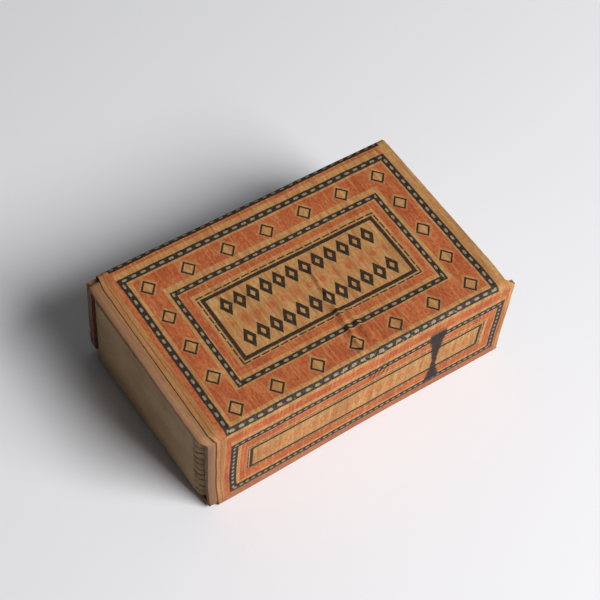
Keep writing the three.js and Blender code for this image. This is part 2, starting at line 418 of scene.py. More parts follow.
def split_depth(from_end, y, z):
    """Depth of the open crack in the bare veneer at the worn near fold, beside the paper's edge."""
    at_fold = smooth(FOLD * 1.15 - (y - MIDDLE_Y + WIDTH / 2), 0.0, 0.5)
    at_fold *= smooth(FOLD * 1.15 - (HEIGHT - z), 0.0, 0.5)
    return SPLIT_DEPTH * at_fold * math.exp(-((from_end - SPLIT_PLACE) / SPLIT_HALF) ** 2)


def make_striker(material):
    """The brushed-on composition: a thin coat with a ragged outline."""
    low, high = span("striking_strip")
    size = 0.45
    xs = steps(low.x, high.x, size)
    zs = steps(low.z, high.z, size)
    sheet = Sheet()
    for i, x in enumerate(xs):
        sheet.start_row()
        for j, z in enumerate(zs):
            ragged_x = 0.22 * wobble(z * 0.9, x * 0.01, 3.0) * (i in (0, len(xs) - 1))
            ragged_z = 0.16 * wobble(x * 0.7, z * 0.01, 8.0) * (j in (0, len(zs) - 1))
            px, pz = x - abs(ragged_x) * (1 if i else -1), z - abs(ragged_z) * (1 if j else -1)
            near_edge = min(px - low.x, high.x - px, pz - low.z, high.z - pz)
            coat = (high.y - low.y) * (0.55 + 0.35 * smooth(near_edge, 0, 0.5))
            coat += 0.012 * wobble(px * 2.4, pz * 2.4)
            sheet.add(settle((px, low.y + coat, pz)), settle((px, low.y, pz)), (px, pz, 0.0))
    striker = closed_shell("striking_surface", sheet)
    return dress(striker, "sleeve", material, "striking_composition", "striking_strip")


# Tray

TRAY_LOW, TRAY_HIGH = span("tray_binding")
HOOP_LOW, HOOP_HIGH = span("tray_frame")
FLOOR_LOW, FLOOR_HIGH = span("tray_bottom")
TRAY_VENEER = FLOOR_HIGH.z - FLOOR_LOW.z
TRAY_FOLD_RADIUS = 0.5
BINDING_PAPER = 0.1
TURN_IN = 4.0
# The left end wall: its foot stands in, its rim leans out, and its far side is skewed outward.
FOOT_IN = 0.22
RIM_LEAN = 0.62
END_SKEW = 0.75
# Creases across the folded corners of the tray's paper: height, pitch, and pitch of the dark lines.
CREASE_HEIGHT = 0.13
CREASE_PITCH = 0.62
CREASE_LINE_PITCH = 1.5


def lean(x, y, z):
    """X of a point of the tray, whose left end wall leans out at its rim and at its far side."""
    at_end = smooth(TRAY_LOW.x + 2.5 - x, 0.0, 1.5)
    rise = clamp((z - TRAY_LOW.z) / (TRAY_HIGH.z - TRAY_LOW.z))
    across = clamp((y - TRAY_LOW.y) / (TRAY_HIGH.y - TRAY_LOW.y))
    skew = END_SKEW * across * (1 - 0.75 * rise)
    return x + at_end * (FOOT_IN - RIM_LEAN * rise - skew)


def make_hoop(material):
    """The tray's walls, one strip on edge, lapped at the far end, its rim a little uneven."""
    low, high = HOOP_LOW, HOOP_HIGH
    lap = high.x - TRAY_VENEER - LAP_GAP
    path = [
        (lap, low.y + TRAY_FOLD_RADIUS + TRAY_VENEER), (lap, high.y), (low.x, high.y),
        (low.x, low.y), (high.x, low.y), (high.x, high.y - TRAY_FOLD_RADIUS - TRAY_VENEER),
    ]
    pairs = folded_strip(path, TRAY_VENEER, TRAY_FOLD_RADIUS, 1.0)
    rim_levels = [high.z - 0.4, high.z - 0.1, high.z]
    levels = [low.z, low.z + 0.4] + steps(low.z + 1.2, high.z - 1.2, 1.5) + rim_levels
    sheet = Sheet()
    for z in reversed(levels):
        sheet.start_row()
        for out, ins, run in pairs:
            rim = smooth(z, high.z - 1.2, high.z)
            drop = rim * (0.10 * abs(wobble(run * 0.3, 2.0)) + 0.05 * abs(wobble(run * 2.2, 5.0)))
            toward = (ins - out).normalized() * 0.09 * smooth(z, high.z - 0.12, high.z)
            sheet.add(
                (lean(out.x + toward.x, out.y, z), out.y + toward.y, z - drop),
                (lean(ins.x - toward.x, ins.y, z), ins.y - toward.y, z - drop),
                (z, run, 0.0),
            )
    hoop = closed_shell("tray_walls", sheet)
    return dress(hoop, "tray", material, "tray_wood", "tray_frame")


def rounded_loop(low, high, radius, size, bend_steps=8):
    """(point, outward normal, distance round) for a rounded rectangle, counter-clockwise."""
    corners = [
        ((high.x - radius, low.y + radius), -90), ((high.x - radius, high.y - radius), 0),
        ((low.x + radius, high.y - radius), 90), ((low.x + radius, low.y + radius), 180),
    ]
    loop = []
    run = 0.0
    for k, ((cx, cy), start) in enumerate(corners):
        for step in range(bend_steps + 1):
            angle = math.radians(start + 90 * step / bend_steps)
            ray = Vector((math.cos(angle), math.sin(angle)))
            turned = radius * (angle - math.radians(start))
            loop.append((Vector((cx, cy)) + ray * radius, ray, run + turned))
        run += radius * math.pi / 2
        (nx, ny), _ = corners[(k + 1) % 4]
        begin = loop[-1][0]
        ray = loop[-1][1]
        finish = Vector((nx, ny)) + ray * radius
        for t in steps(0.0, (finish - begin).length, size)[1:-1]:
            loop.append((begin + (finish - begin).normalized() * t, ray, run + t))
        run += (finish - begin).length
    return loop


def near_corner(place):
    """1 at the tray's folded corners, 0 away from them."""
    near_x = min(place.x - TRAY_LOW.x, TRAY_HIGH.x - place.x)
    near_y = min(place.y - TRAY_LOW.y, TRAY_HIGH.y - place.y)
    return smooth(2.5 - near_x, 0.0, 1.4) * smooth(2.5 - near_y, 0.0, 1.4)


def corner_tick(place, z):
    """Small creases across each folded corner of the binding paper, in millimetres of height."""
    ripple = math.sin(z * 2 * math.pi / CREASE_PITCH + 2.5 * wobble(z * 0.4, place.x * 0.1))
    return CREASE_HEIGHT * near_corner(place) * max(0.0, ripple)


def make_binding(material):
    """The paper round the walls, turned in under the bottom."""
    radius = TRAY_FOLD_RADIUS + TRAY_VENEER + BINDING_PAPER + GLUE
    loop = rounded_loop(TRAY_LOW, TRAY_HIGH, radius, 0.8, 10)
    inset_limit = radius * 0.9
    levels = steps(TRAY_LOW.z + 0.3, TRAY_HIGH.z, 0.16)
    sheet = Sheet()
    wall = [(0.0, z - TRAY_LOW.z, True) for z in reversed(levels)]
    bend = [(0.03, 0.15, False), (0.12, 0.05, False), (0.3, 0.0, False)]
    under = [(depth, 0.0, False) for depth in (1.0, 1.8, 2.6, 3.4, TURN_IN)]
    middle = (TRAY_LOW + TRAY_HIGH) / 2
    for depth, up, upright in wall + bend + under:
        sheet.start_row()
        for place, ray, run in loop:
            z = TRAY_LOW.z + up
            if upright:
                lift = corner_tick(place, z) + 0.015 * wobble(run * 0.5, z * 1.3)
                edge = 0.12 * wobble(run * 0.4, 3.0) * smooth(z, TRAY_HIGH.z - 1.5, TRAY_HIGH.z)
                out = place + ray * (lift - 0.03)
                ins = out - ray * BINDING_PAPER
                out_z = in_z = z - abs(edge)
            else:
                bent = min(depth, inset_limit)
                straight = depth - bent
                out = place - ray * bent
                if straight > 0:
                    out.x += math.copysign(straight, middle.x - out.x) * (abs(ray.x) > 1e-6)
                    out.y += math.copysign(straight, middle.y - out.y) * (abs(ray.y) > 1e-6)
                in_bend = depth < 0.2
                ins = out - ray * (0.07 if in_bend else 0.0)
                out_z = z
                in_z = z + (0.05 if in_bend else BINDING_PAPER)
            on_end = place.y < 0 and place.x < TRAY_LOW.x + radius / 2
            sheet.add(
                (lean(out.x, out.y, z), out.y, out_z),
                (lean(ins.x, ins.y, z), ins.y, in_z),
                (up + depth, run, near_corner(place) if on_end else 0.0),
            )
    paper = closed_shell("tray_paper", sheet, wrap=True, sharp=55)
    return dress(paper, "tray", material, "binding_paper", "tray_binding")


def eased_steps(low, high):
    """Places across a board, close together at its two edges."""
    ease = [0.0, 0.08, 0.25]
    return [low + e for e in ease] + steps(low + 1, high - 1, 1.2) + [high - e for e in reversed(ease)]


def make_floor_board(material):
    """The tray's bottom: a thin board, slightly rippled and with eased edges."""
    low, high = FLOOR_LOW, FLOOR_HIGH
    xs, ys = eased_steps(low.x, high.x), eased_steps(low.y, high.y)
    sheet = Sheet()
    for y in ys:
        sheet.start_row()
        for x in xs:
            edge = min(x - low.x, high.x - x, y - low.y, high.y - y)
            round_off = 0.10 * (1 - smooth(edge, 0.0, 0.25))
            ripple = 0.02 * wobble(x * 0.15, y * 1.4) * (edge > 0.2)
            top = high.z - round_off - 0.02 + ripple
            sheet.add((x, y, top), (x, y, low.z + round_off), (y, x, 0.0))
    board = closed_shell("tray_floor", sheet)
    return dress(board, "tray", material, "tray_wood", "tray_bottom")


# Matches

def make_splint(number, material):
    """A split wooden stick: square with eased corners, a little bowed, its end roughly cut."""
    node = f"match_{number:02d}_splint"
    low, high = span(node)
    half = (high.y - low.y) / 2
    cy, cz = (low.y + high.y) / 2, (low.z + high.z) / 2
    chamfer = 0.16
    section = []
    for sy, sz in ((1, 1), (-1, 1), (-1, -1), (1, -1)):
        first = (sy * half, sz * (half - chamfer))
        second = (sy * (half - chamfer), sz * half)
        section += [first, second] if sy == sz else [second, first]
    into_head = 1.2
    xs = steps(low.x, high.x + into_head, 2.5)
    points, faces, sheet = [], [], []
    count = len(section)
    for i, x in enumerate(xs):
        t = (x - low.x) / (high.x - low.x)
        bow = 0.12 * math.sin(math.pi * clamp(t)) * wobble(number * 1.7, 0.5)
        for k, (sy, sz) in enumerate(section):
            rough = 1 - 0.035 * abs(wobble(x * 0.4, number * 3.1, k * 0.8))
            start = 0.18 * wobble(number * 2.3, k * 0.9) * (i == 0)
            points.append((x + abs(start), cy + sy * rough + bow, cz + sz * rough))
            sheet.append((sy + number * 5.0, x, sz))
    for i in range(len(xs) - 1):
        for k in range(count):
            a, b = i * count + k, i * count + (k + 1) % count
            faces.append((a, a + count, b + count, b))
    faces.append(tuple(range(count)))
    faces.append(tuple(reversed(range(len(points) - count, len(points)))))
    stick = add_object(f"splint_{number:02d}", points, faces, sheet, 30)
    return dress(stick, "tray", material, "splint_wood", node)


def make_head(number, material):
    """The dipped head: a drop of dried composition, full near its tip and thin where it starts."""
    node = f"match_{number:02d}_head"
    low, high = span(node)
    length = high.x - low.x
    radius = (high.y - low.y) / 2
    cy, cz = (low.y + high.y) / 2, (low.z + high.z) / 2
    rings, sides = 14, 20
    back = 0.5
    points, faces, sheet = [], [], []
    for i in range(rings + 1):
        t = i / rings
        x = low.x - back + (length + back) * (1 - math.cos(math.pi * t)) / 2
        fall = math.sin(math.pi * clamp(t, 0.02, 0.985)) ** 0.62
        swell = 0.80 + 0.20 * smooth(t, 0.1, 0.5)
        for k in range(sides):
            angle = 2 * math.pi * k / sides
            square = 1 + 0.10 * math.cos(4 * angle) * (1 - t)
            bump = 1 + 0.05 * wobble(x * 1.2 + number, math.cos(angle) * 1.3, math.sin(angle) * 1.3)
            r = min(radius * fall * swell * square * bump, radius * 1.01)
            points.append((min(x, high.x), cy + r * math.cos(angle), cz + r * math.sin(angle)))
            sheet.append((x, angle * radius, number * 4.0))
    for i in range(rings):
        for k in range(sides):
            a, b = i * sides + k, i * sides + (k + 1) % sides
            faces.append((a, a + sides, b + sides, b))
    faces.append(tuple(range(sides)))
    faces.append(tuple(reversed(range(len(points) - sides, len(points)))))
    head = add_object(f"head_{number:02d}", points, faces, sheet, 70)
    return dress(head, "tray", material, "match_head", node)


# Materials

def linear(r, g, b):
    """A colour as the eye sees it, 0 to 255, as the renderer's own numbers."""
    values = []
    for c in (r, g, b):
        c /= 255
        values.append(c / 12.92 if c <= 0.04045 else ((c + 0.055) / 1.055) ** 2.4)
    return (*values, 1.0)


class Wire:
    """A number in a material's nodes, with ordinary arithmetic."""

    def __init__(self, tree, socket):
        self.tree = tree
        self.socket = socket

    def math(self, operation, *others, clamped=False):
        node = self.tree.nodes.new("ShaderNodeMath")
        node.operation = operation
        node.use_clamp = clamped
        for slot, value in zip(node.inputs, (self, *others)):
            if isinstance(value, Wire):
                self.tree.links.new(value.socket, slot)
            else:
                slot.default_value = value
        return Wire(self.tree, node.outputs[0])

    def __add__(self, other):
        return self.math("ADD", other)

    def __sub__(self, other):
        return self.math("SUBTRACT", other)

    def __mul__(self, other):
        return self.math("MULTIPLY", other)

    def __abs__(self):
        return self.math("ABSOLUTE")

    def flip(self):
        """One minus this."""
        return (self * -1.0) + 1.0

    def max(self, other):
        return self.math("MAXIMUM", other)

    def min(self, other):
        return self.math("MINIMUM", other)

    def fract(self):
        return self.math("FRACT")

    def above(self, edge, soft):
        """0 below the edge, 1 above it, with a soft step."""
        return ((self - edge) * (1 / soft)).math("ADD", 0.5, clamped=True)

    def below(self, edge, soft):
        return self.above(edge, soft).flip()

    def choose(self, high, low):
        """high where this is 1, low where it is 0."""
        return self * high + self.flip() * low


class Paint:
    """A material under construction: its nodes, its flat coordinates and its surface."""

    def __init__(self, name, rough, coordinates=True):
        self.material = bpy.data.materials.new(name)
        self.material.use_nodes = True
        self.tree = self.material.node_tree
        self.surface = self.tree.nodes["Principled BSDF"]
        self.surface.inputs["Roughness"].default_value = rough
        if coordinates:
            source = self.tree.nodes.new("ShaderNodeAttribute")
            source.attribute_name = "sheet"
            split = self.tree.nodes.new("ShaderNodeSeparateXYZ")
            self.tree.links.new(source.outputs["Vector"], split.inputs[0])
            self.x, self.v, self.w = (Wire(self.tree, split.outputs[k]) for k in range(3))

    def noise(self, x_scale, v_scale, detail=3.0, offset=0.0, w_scale=0.0, rough=0.55):
        """Noise over the flat coordinates, from 0 to 1, with its own scale each way per millimetre."""
        join = self.tree.nodes.new("ShaderNodeCombineXYZ")
        scaled = (self.x * x_scale, self.v * v_scale, self.w * w_scale + offset)
        for slot, value in zip(join.inputs, scaled):
            self.tree.links.new(value.socket, slot)
        node = self.tree.nodes.new("ShaderNodeTexNoise")
        node.inputs["Scale"].default_value = 1.0
        node.inputs["Detail"].default_value = detail
        node.inputs["Roughness"].default_value = rough
        self.tree.links.new(join.outputs[0], node.inputs["Vector"])
        return Wire(self.tree, node.outputs["Fac"])

    def mix(self, factor, low, high):
        """A colour between two, each a tuple or another mix."""
        node = self.tree.nodes.new("ShaderNodeMix")
        node.data_type = "RGBA"
        if isinstance(factor, Wire):
            self.tree.links.new(factor.socket, node.inputs[0])
        else:
            node.inputs[0].default_value = factor
        for slot, colour in ((node.inputs[6], low), (node.inputs[7], high)):
            if isinstance(colour, tuple):
                slot.default_value = colour
            else:
                self.tree.links.new(colour, slot)
        return node.outputs[2]

    def colour(self, socket):
        self.tree.links.new(socket, self.surface.inputs["Base Color"])

    def rough(self, wire):
        self.tree.links.new(wire.socket, self.surface.inputs["Roughness"])

    def bump(self, height, depth):
        """Relief: height is a wire from 0 to 1 and depth its full height in millimetres."""
        node = self.tree.nodes.new("ShaderNodeBump")
        node.inputs["Strength"].default_value = 1.0
        node.inputs["Distance"].default_value = depth * MM
        self.tree.links.new(height.socket, node.inputs["Height"])
        self.tree.links.new(node.outputs["Normal"], self.surface.inputs["Normal"])


TAN = linear(178, 130, 69)
TAN_PALE = linear(202, 158, 104)
TAN_DARK = linear(134, 88, 46)
RED = linear(174, 76, 40)
RED_DEEP = linear(146, 50, 30)
RED_WORN = linear(190, 114, 62)
INK = linear(28, 26, 22)
INK_WORN = linear(72, 56, 40)
BEAD = linear(152, 136, 110)
SCUFF = linear(206, 184, 156)
# Painted shadow and shade for the paper's raised edge and its creases, mixed with grime.
SHADE_AND_GRIME = linear(70, 42, 24)
FOXED = linear(170, 108, 64)
BLOT = linear(176, 92, 50)
SMEAR = linear(24, 26, 30)
RUBBED_FOOT = linear(140, 104, 82)
SOILED_MARGIN = linear(146, 88, 50)


class Frame:
    """A printed rectangular frame: its distance from a middle line, and the way along it."""

    def __init__(self, x, v, left, right, low, high):
        self.across_x = abs(x - (left + right) / 2) - (right - left) / 2
        self.across_v = abs(v - (low + high) / 2) - (high - low) / 2
        self.distance = self.across_x.max(self.across_v)
        upright = (self.across_x - self.across_v).above(0.0, 0.02)
        self.along = upright.choose(v - high, x - left)

    def line(self, half, soft=0.07):
        return abs(self.distance).below(half, soft)

    def beads(self, pitch, long, wide, shift=0.5):
        """Pale beads along the frame's middle line."""
        step = abs((self.along * (1 / pitch) + shift).fract() - 0.5) * pitch
        reach = (step * (1 / long)).max(abs(self.distance) * (1 / wide))
        corner = ((step * step) * (1 / long ** 2) + (self.distance * self.distance) * (1 / wide ** 2))
        return (reach * 0.5 + corner * 0.5).below(1.0, 0.35)

    def dashes(self, pitch, gap):
        return (self.along * (1 / pitch) + 0.3).fract().above(gap / pitch, 0.12)


def inside(x, v, left, right, low, high, soft=0.12):
    """1 inside a rectangle."""
    reach = (abs(x - (left + right) / 2) - (right - left) / 2)
    reach = reach.max(abs(v - (low + high) / 2) - (high - low) / 2)
    return reach.below(0.0, soft)


def band(x, v, outer, inner):
    """1 between two rectangles."""
    return inside(x, v, *outer) * inside(x, v, *inner).flip()


def lozenge(x, v, half_x, half_v):
    """0 at the middle of a lozenge, 1 on its outline."""
    return abs(x) * (1 / half_x) + abs(v) * (1 / half_v)


def repeat(x, pitch, start):
    """Distance from the nearest of a row of places, and so a pattern that repeats."""
    return ((x - start) * (1 / pitch) + 0.5).fract() * pitch - pitch / 2


# Places of the print on the top, in millimetres.
CHAIN_PITCH = 1.487
OUTER_CHAIN = (-22.0, 22.0, -15.3, 12.35)
MID_CHAIN = (-16.95, 16.88, -10.02, 6.88)
THICK_FRAME = (-14.1, 14.03, -6.97, 3.95)
BROKEN_FRAME = (-14.74, 14.7, -7.62, 4.6)
DIAMOND_X = (-19.35, 19.3)
DIAMOND_V = (-12.85, 9.6)
DIAMONDS_LONG = 6
DIAMONDS_SHORT = 4
LOZENGE_PITCH = 2.14
# Places of the print on the front, as x and height.
FRONT_CHAIN = (-21.0, 23.72, 2.2, 13.35)
FRONT_PANEL = (-18.15, 20.62, 5.35, 10.2)
FRONT_BROKEN = (-18.66, 21.15, 4.85, 10.8)
FRONT_MOTIFS = (-17.2, 19.8, 6.2, 9.4)
# Places of the print high on the back and, across from its middle, under the box.
BACK_CHAIN = (-22.2, 22.35, 14.95, 2 * FLAT_TOP + FLAT_SIDE)
UNDER_CHAIN = (-22.0, 22.0, -12.3, 12.3)
# Printed bands, each as its outer and its inner rectangle.
DIAMOND_ROWS = (-20.9, 20.9, -14.6, 11.4), (-17.5, 17.4, -10.6, 7.6)
RED_GROUND = (-20.95, 21.25, -14.2, 11.5), (-17.85, 17.95, -10.65, 8.3)
RED_INNER = (-16.4, 16.25, -8.95, 6.25), (-15.3, 15.2, -7.85, 5.3)
RED_OUTER = (-23.35, 22.4, -30.0, 14.72), (-22.5, 21.9, -30.0, 13.85)
FRONT_RED_OUTER = (-22.35, 24.8, 0.3, 16.45), (-21.55, 24.4, 1.55, 14.75)
FRONT_RED_INNER = (-19.9, 23.0, 3.2, 12.65), (-18.9, 21.75, 4.65, 11.3)
UNDER_RED = (-20.8, 20.8, -11.2, 11.2), (-19.2, 19.2, -9.6, 9.6)


def print_top(paint, x, v):
    """(red, black, beads) masks of the top panel's print."""
    outer = Frame(x, v, *OUTER_CHAIN)
    mid = Frame(x, v, *MID_CHAIN)
    thick = Frame(x, v, *THICK_FRAME)
    broken = Frame(x, v, *BROKEN_FRAME)
    black = outer.line(0.50).max(mid.line(0.42))
    black = black.max(thick.line(0.29)).max(broken.line(0.11) * broken.dashes(1.5, 0.28))
    beads = outer.beads(CHAIN_PITCH, 0.40, 0.19, 0.14)
    beads = beads.max(mid.beads(CHAIN_PITCH, 0.38, 0.17, 0.55))

    pitch_x = (DIAMOND_X[1] - DIAMOND_X[0]) / DIAMONDS_LONG
    pitch_v = (DIAMOND_V[1] - DIAMOND_V[0]) / DIAMONDS_SHORT
    cell_x = repeat(x, pitch_x, DIAMOND_X[0])
    cell_v = repeat(v, pitch_v, DIAMOND_V[0])
    diamond = lozenge(cell_x, cell_v, 1.06, 1.22)
    black = black.max(abs(diamond - 1.0).below(0.18, 0.08) * band(x, v, *DIAMOND_ROWS))

    # The red ground is printed a little off the black, and leaves a pale lozenge round each diamond.
    halo = lozenge(cell_x - 0.05, cell_v - 0.12, 1.5, 1.66).above(1.0, 0.34)
    red = band(x, v, *RED_GROUND) * halo
    red = red.max(band(x, v, *RED_INNER)).max(band(x, v, *RED_OUTER))
    panel_red, panel_black = ornament(paint, x, v)
    return red.max(panel_red), black.max(panel_black), beads


def ornament(paint, x, v):
    """Two bold rows of open lozenges with a row of small red ones between, in the middle panel."""
    rows = inside(x, v, -12.9, 12.85, -6.5, 3.6, 0.05)
    cell = repeat(x, LOZENGE_PITCH, LOZENGE_PITCH / 2)
    upper = lozenge(cell, v - 1.55, 0.98, 1.75)
    lower = lozenge(cell, v + 4.45, 0.98, 1.75)
    bold = upper.min(lower)
    black = bold.below(1.0, 0.08) * bold.above(0.36, 0.08)
    red = lozenge(repeat(x, LOZENGE_PITCH, 0.0), v + 1.45, 0.62, 0.72).below(1.0, 0.15)
    faint = paint.noise(0.8, 0.25, 2.0, 31.0).above(0.5, 0.35) * 0.5
    blush = inside(x, v, -11.5, 11.5, -2.6, -0.3, 0.6) * faint
    return (red * 0.8).max(blush) * rows, black * rows


def print_front(x, z):
    """(red, black, beads) masks of the front panel's print."""
    chain = Frame(x, z, *FRONT_CHAIN)
    panel = Frame(x, z, *FRONT_PANEL)
    broken = Frame(x, z, *FRONT_BROKEN)
    black = chain.line(0.57)
    black = black.max(panel.line(0.25)).max(broken.line(0.10) * broken.dashes(1.1, 0.2) * 0.9)
    beads = chain.beads(1.0, 0.29, 0.18, 0.2)
    red = band(x, z, *FRONT_RED_OUTER).max(band(x, z, *FRONT_RED_INNER))
    small = lozenge(repeat(x, 1.9, 1.2), z - 7.75, 0.72, 1.15)
    motif = small.below(1.0, 0.2) * small.above(0.35, 0.2) * inside(x, z, *FRONT_MOTIFS)
    return red.max(motif * 0.55), black, beads


def print_plain(x, v):
    """(red, black, beads) masks of the chain high on the back and of the frame under the box."""
    under_v = abs(v) * -1.0 + GIRTH / 2
    here = under_v.below(FLAT_TOP, 0.05)
    elsewhere = here.flip()
    back = Frame(x, v, *BACK_CHAIN)
    under = Frame(x, under_v, *UNDER_CHAIN)
    black = (back.line(0.56) * elsewhere).max(under.line(0.46) * here)
    beads = back.beads(CHAIN_PITCH, 0.36, 0.19) * elsewhere
    beads = beads.max(under.beads(CHAIN_PITCH, 0.36, 0.19) * here)
    return band(x, under_v, *UNDER_RED) * here, black, beads


def ink_smear(paint, x, z):
    """The blue-black smear down the front: wide at its two ends, narrow between."""
    from_top = z.below(11.0, 6.0).flip()
    from_foot = z.below(4.2, 3.2)
    half = from_top * 0.95 + from_foot * 0.72 + 0.46
    middle = z * -0.045 + 13.1
    ragged = paint.noise(1.9, 1.1, 4.0, 12.0) - 0.5
    length = z.above(2.0, 0.9) * z.below(14.7, 0.9)
    return (abs(x - middle) + ragged - half).below(0.0, 0.3) * length


def scratches(paint, x, z):
    """A few short dark strokes high on the front, right of its middle."""
    stroke = abs(repeat(x - z * 0.4, 0.8, 0.0)).below(0.13, 0.06)
    here = inside(x, z, 0.5, 4.3, 11.7, 14.0, 0.3)
    return stroke * here * paint.noise(0.9, 0.9, 2.0, 61.0).above(0.4, 0.1)


def shaken(paint, wire, fine_offset, wide_offset):
    """A coordinate with a faint shake, because letterpress ink spreads a little unevenly."""
    fine = paint.noise(2.3, 2.3, 2.0, fine_offset) - 0.5
    wide = paint.noise(0.16, 0.16, 1.0, wide_offset) - 0.5
    return wire + fine * 0.14 + wide * 0.25


def print_masks(paint, on_top, on_front):
    """(red, black, beads) masks of the whole print, each panel in its place."""
    x = shaken(paint, paint.x, 3.0, 8.0)
    v = shaken(paint, paint.v, 17.0, 21.0)
    on_plain = (on_front + on_top).flip()
    top, front, plain = print_top(paint, x, v), print_front(x, v + FRONT_BASE), print_plain(x, v)
    return [a * on_top + b * on_front + c * on_plain for a, b, c in zip(top, front, plain)]


class Grain:
    """The veneer's grain that shows through the paper: streaks round the box, flecks and clouds."""

    def __init__(self, paint):
        self.fine = paint.noise(2.7, 0.22, 4.0, 0.0, rough=0.65)
        self.streak = paint.noise(1.2, 0.10, 3.0, 5.0)
        self.fleck = paint.noise(3.0, 1.7, 4.0, 2.0, rough=0.65)
        self.cloud = paint.noise(0.28, 0.2, 3.0, 11.0)
        self.blot = paint.noise(1.9, 1.3, 3.0, 27.0, rough=0.6)


def inked_paper(paint, grain, red, black, beads):
    """The paper's colour with the red, the black and the beads printed on it."""
    paper = paint.mix(grain.fine.above(0.5, 0.25), TAN, TAN_PALE)
    paper = paint.mix(grain.fleck.above(0.56, 0.16) * 0.4, paper, TAN_DARK)
    paper = paint.mix(grain.streak.above(0.58, 0.22) * 0.6, paper, TAN_DARK)
    paper = paint.mix(grain.cloud.above(0.55, 0.3) * 0.35, paper, FOXED)
    paper = paint.mix(grain.blot.above(0.56, 0.14) * 0.38, paper, BLOT)
    red_ink = paint.mix(grain.fleck.above(0.51, 0.2), RED, RED_WORN)
    red_ink = paint.mix(grain.cloud.above(0.5, 0.25) * 0.55, red_ink, RED_DEEP)
    red_ink = paint.mix(grain.fine.above(0.58, 0.12) * 0.7, red_ink, RED_WORN)
    red_cover = (grain.fine * 0.5 + grain.fleck * 0.5).below(0.57, 0.14) * 0.45 + 0.5
    colour = paint.mix(red * red_cover, paper, red_ink)
    ink = paint.mix(grain.fleck.above(0.53, 0.16) * 0.6, INK, INK_WORN)
    ink_cover = (grain.fleck * 0.6 + grain.fine * 0.4).below(0.66, 0.14) * 0.38 + 0.6
    colour = paint.mix(black * ink_cover, colour, ink)
    bead = paint.mix(grain.fleck.above(0.55, 0.2) * 0.5, BEAD, INK_WORN)
    return paint.mix(beads * black.above(0.4, 0.3), colour, bead)


def worn_front(paint, grain, colour, on_front):
    """The front's smear, its rubbed foot and its scratches over the print."""
    z = paint.v + FRONT_BASE
    smear = ink_smear(paint, paint.x, z) * on_front
    colour = paint.mix(smear * (grain.fleck.below(0.64, 0.14) * 0.45 + 0.5), colour, SMEAR)
    # The paper's pale body shows along the folds, most where the near one is rubbed.
    near_fold = abs(abs(paint.v) - (FLAT_TOP + FOLD_ARC * 0.62)).below(0.35, 0.8)
    chips = paint.noise(2.6, 3.2, 4.0, 41.0).above(0.60, 0.10)
    rubbed_stretch = inside(paint.x, paint.v, -6.0, 16.0, -19.0, -14.6, 2.0)
    colour = paint.mix(near_fold * chips * (rubbed_stretch * 0.45 + 0.2), colour, SCUFF)
    colour = paint.mix(z.below(1.7, 1.4) * on_front * 0.5, colour, RUBBED_FOOT)
    return paint.mix(scratches(paint, paint.x, z) * 0.85, colour, INK)


def label_material():
    paint = Paint("label_print", 0.72)
    paint.surface.inputs["Specular IOR Level"].default_value = 0.3
    fold_line = -(FLAT_TOP + FOLD_ARC * 0.98)
    on_front = paint.v.below(fold_line, 0.05) * paint.v.above(-FRONT_BASE, 0.05)
    on_top = paint.v.above(fold_line, 0.05) * paint.v.below(14.3, 0.05)
    red, black, beads = print_masks(paint, on_top, on_front)
    grain = Grain(paint)
    colour = inked_paper(paint, grain, red, black, beads)
    colour = worn_front(paint, grain, colour, on_front)

    # Painted shadow against the paper's raised left edge, and two creases beside it darkened partly by
    # painted shade and partly by grime.
    shiver = (paint.noise(0.5, 0.9, 2.0, 51.0) - 0.5) * 0.3
    # The rim line is painted shadow of the paper's thickness at its edge.
    rim = paint.w.below(0.06, 0.14)
    crease = abs(paint.w - 0.62 + shiver).below(0.06, 0.16)
    second = abs(paint.w - 1.05 + shiver * 1.6).below(0.03, 0.16)
    colour = paint.mix(paint.w.below(1.3, 1.1) * 0.4, colour, SOILED_MARGIN)
    lines = (rim * 0.3).max(crease * 0.75).max(second * 0.5)
    colour = paint.mix(lines * 0.6, colour, SHADE_AND_GRIME)
    paint.colour(colour)
    paint.rough(black * -0.08 + grain.fleck * 0.12 + 0.72)
    relief = grain.fine * 0.5 + grain.streak * 0.35 + grain.fleck * 0.15
    paint.bump(relief + crease * -0.5 + second * -0.3, 0.07)
    return paint.material


# Woods, each as its pale, middle and dark tone.
BARE_VENEER = linear(176, 134, 93), linear(148, 109, 71), linear(102, 68, 43)
TRAY_WOOD = linear(206, 172, 124), linear(184, 146, 100), linear(140, 102, 66)
ASPEN = linear(232, 206, 160), linear(216, 184, 136), linear(186, 146, 98)
# Painted shade with dark end grain, for the veneer's cut ends and the inside of its lap.
END_GRAIN_AND_SHADE = linear(70, 40, 28)
# Painted shade for the front's cut end.
FRONT_END_SHADE = linear(92, 70, 54)
HANDLED = linear(150, 92, 58)


def shade_and_soil_veneer(paint, colour):
    """Darkening of the sleeve's bare veneer: painted shade with dark end grain and dirt at its cut
    ends, painted shade inside the lap, at the back's end and on the front's cut end, and handling dirt
    where it is held.
    """
    # Painted shade with dark end grain and dirt towards the cut ends.
    colour = paint.mix(paint.w.below(0.25, 0.8) * 0.4, colour, END_GRAIN_AND_SHADE)
    # Painted shade on the lap's inner layer and on the back's outer end.
    inner_back = paint.v.below(HEIGHT - 1.5, 0.5)
    outer_back = paint.v.above(GIRTH - 2.5 * FOLD, 0.5) * paint.w.below(0.3, 0.4)
    colour = paint.mix(inner_back.max(outer_back) * 0.8, colour, END_GRAIN_AND_SHADE)
    # Painted shade greying the front's cut end.
    on_front = paint.v.above(HEIGHT + WIDTH - 1.5, 1.0) * paint.v.below(2 * HEIGHT + WIDTH - 2.5, 1.0)
    colour = paint.mix(on_front * paint.w.below(0.75, 0.5) * 0.5, colour, FRONT_END_SHADE)
    held = paint.noise(1.1, 0.9, 3.0, 23.0).above(0.52, 0.2)
    return paint.mix(held * 0.4, colour, HANDLED)


